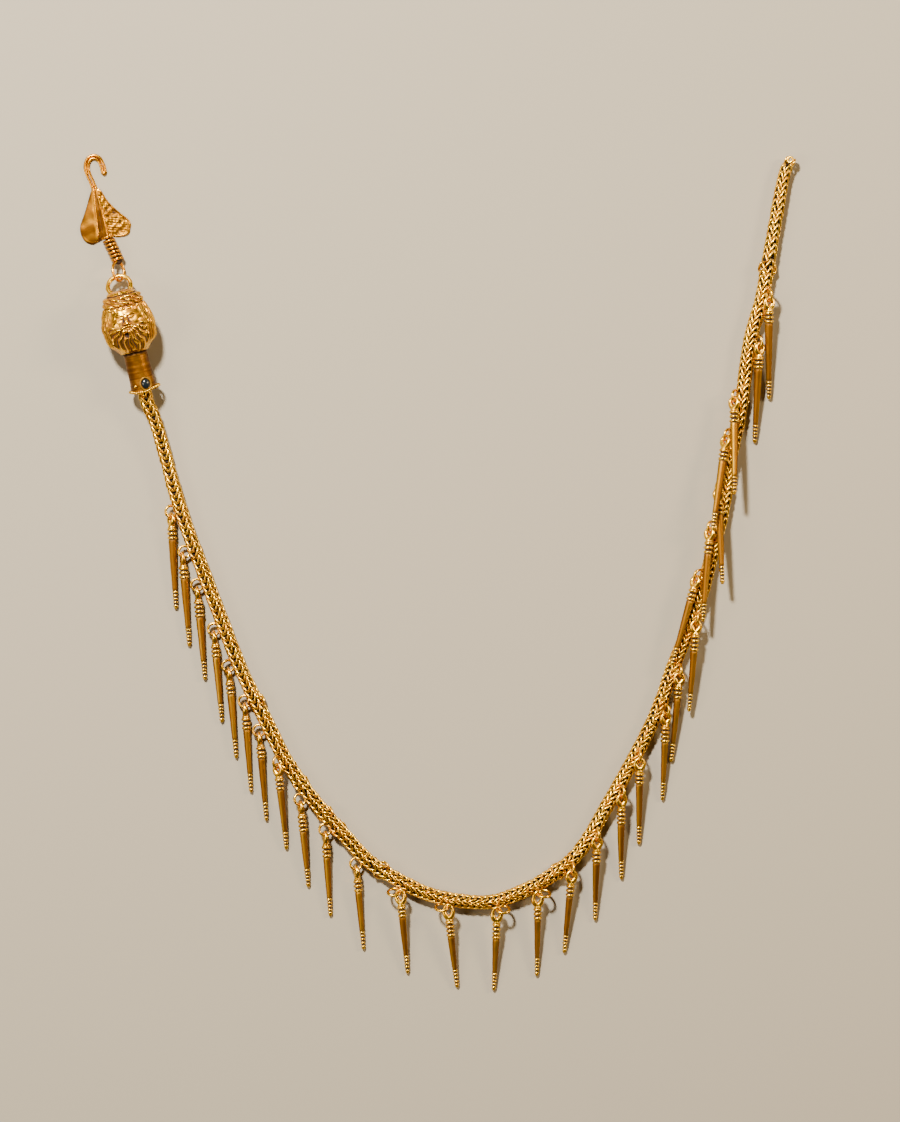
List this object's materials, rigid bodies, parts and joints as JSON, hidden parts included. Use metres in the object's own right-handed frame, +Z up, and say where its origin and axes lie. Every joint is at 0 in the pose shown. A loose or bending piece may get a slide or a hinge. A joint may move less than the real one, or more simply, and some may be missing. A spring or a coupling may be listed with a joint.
{
  "type": "collar necklace",
  "caption": "Ancient gold loop-in-loop chain necklace with a fringe of spindle pendants, a bearded head terminal on a stone-set sleeve, and a hook with a leaf.",
  "frame": {"origin": "centre of the bounding box on the surface that the necklace lies on", "axes": "+Y along the open U, from its lowest pendant towards the hook; +X towards the chain's free end; +Z up from the surface"},
  "size_m": [0.1572, 0.1838, 0.0117],
  "materials": {
    "woven_gold_wire": "bright worn gold wire with dark soil in the gaps",
    "pendant_gold": "worn gold, bright on the ridges",
    "leaf_gold": "thin crumpled gold sheet, half matt",
    "worn_sheet_gold": "matt brown-toned gold sheet, worn bright on the high parts",
    "dark_inlay": "dark blue-black stone or glass, glossy, weathered"
  },
  "bodies": {
    "root": {"chain": "woven_gold_wire", "head_terminal": "worn_sheet_gold", "hook_with_leaf": "leaf_gold", "inlay_stone": "dark_inlay", "link_ring": "worn_sheet_gold", "pendant_01": "pendant_gold", "pendant_02": "pendant_gold", "pendant_03": "pendant_gold", "pendant_04": "pendant_gold", "pendant_05": "pendant_gold", "pendant_06": "pendant_gold", "pendant_07": "pendant_gold", "pendant_08": "pendant_gold", "pendant_09": "pendant_gold", "pendant_10": "pendant_gold", "pendant_11": "pendant_gold", "pendant_12": "pendant_gold", "pendant_13": "pendant_gold", "pendant_14": "pendant_gold", "pendant_15": "pendant_gold", "pendant_16": "pendant_gold", "pendant_17": "pendant_gold", "pendant_18": "pendant_gold", "pendant_19": "pendant_gold", "pendant_20": "pendant_gold", "pendant_21": "pendant_gold", "pendant_22": "pendant_gold", "pendant_23": "pendant_gold", "pendant_24": "pendant_gold", "pendant_25": "pendant_gold", "pendant_26": "pendant_gold", "pendant_27": "pendant_gold", "pendant_28": "pendant_gold", "pendant_29": "pendant_gold", "stone_set_sleeve": "worn_sheet_gold"}
  },
  "joints": []
}
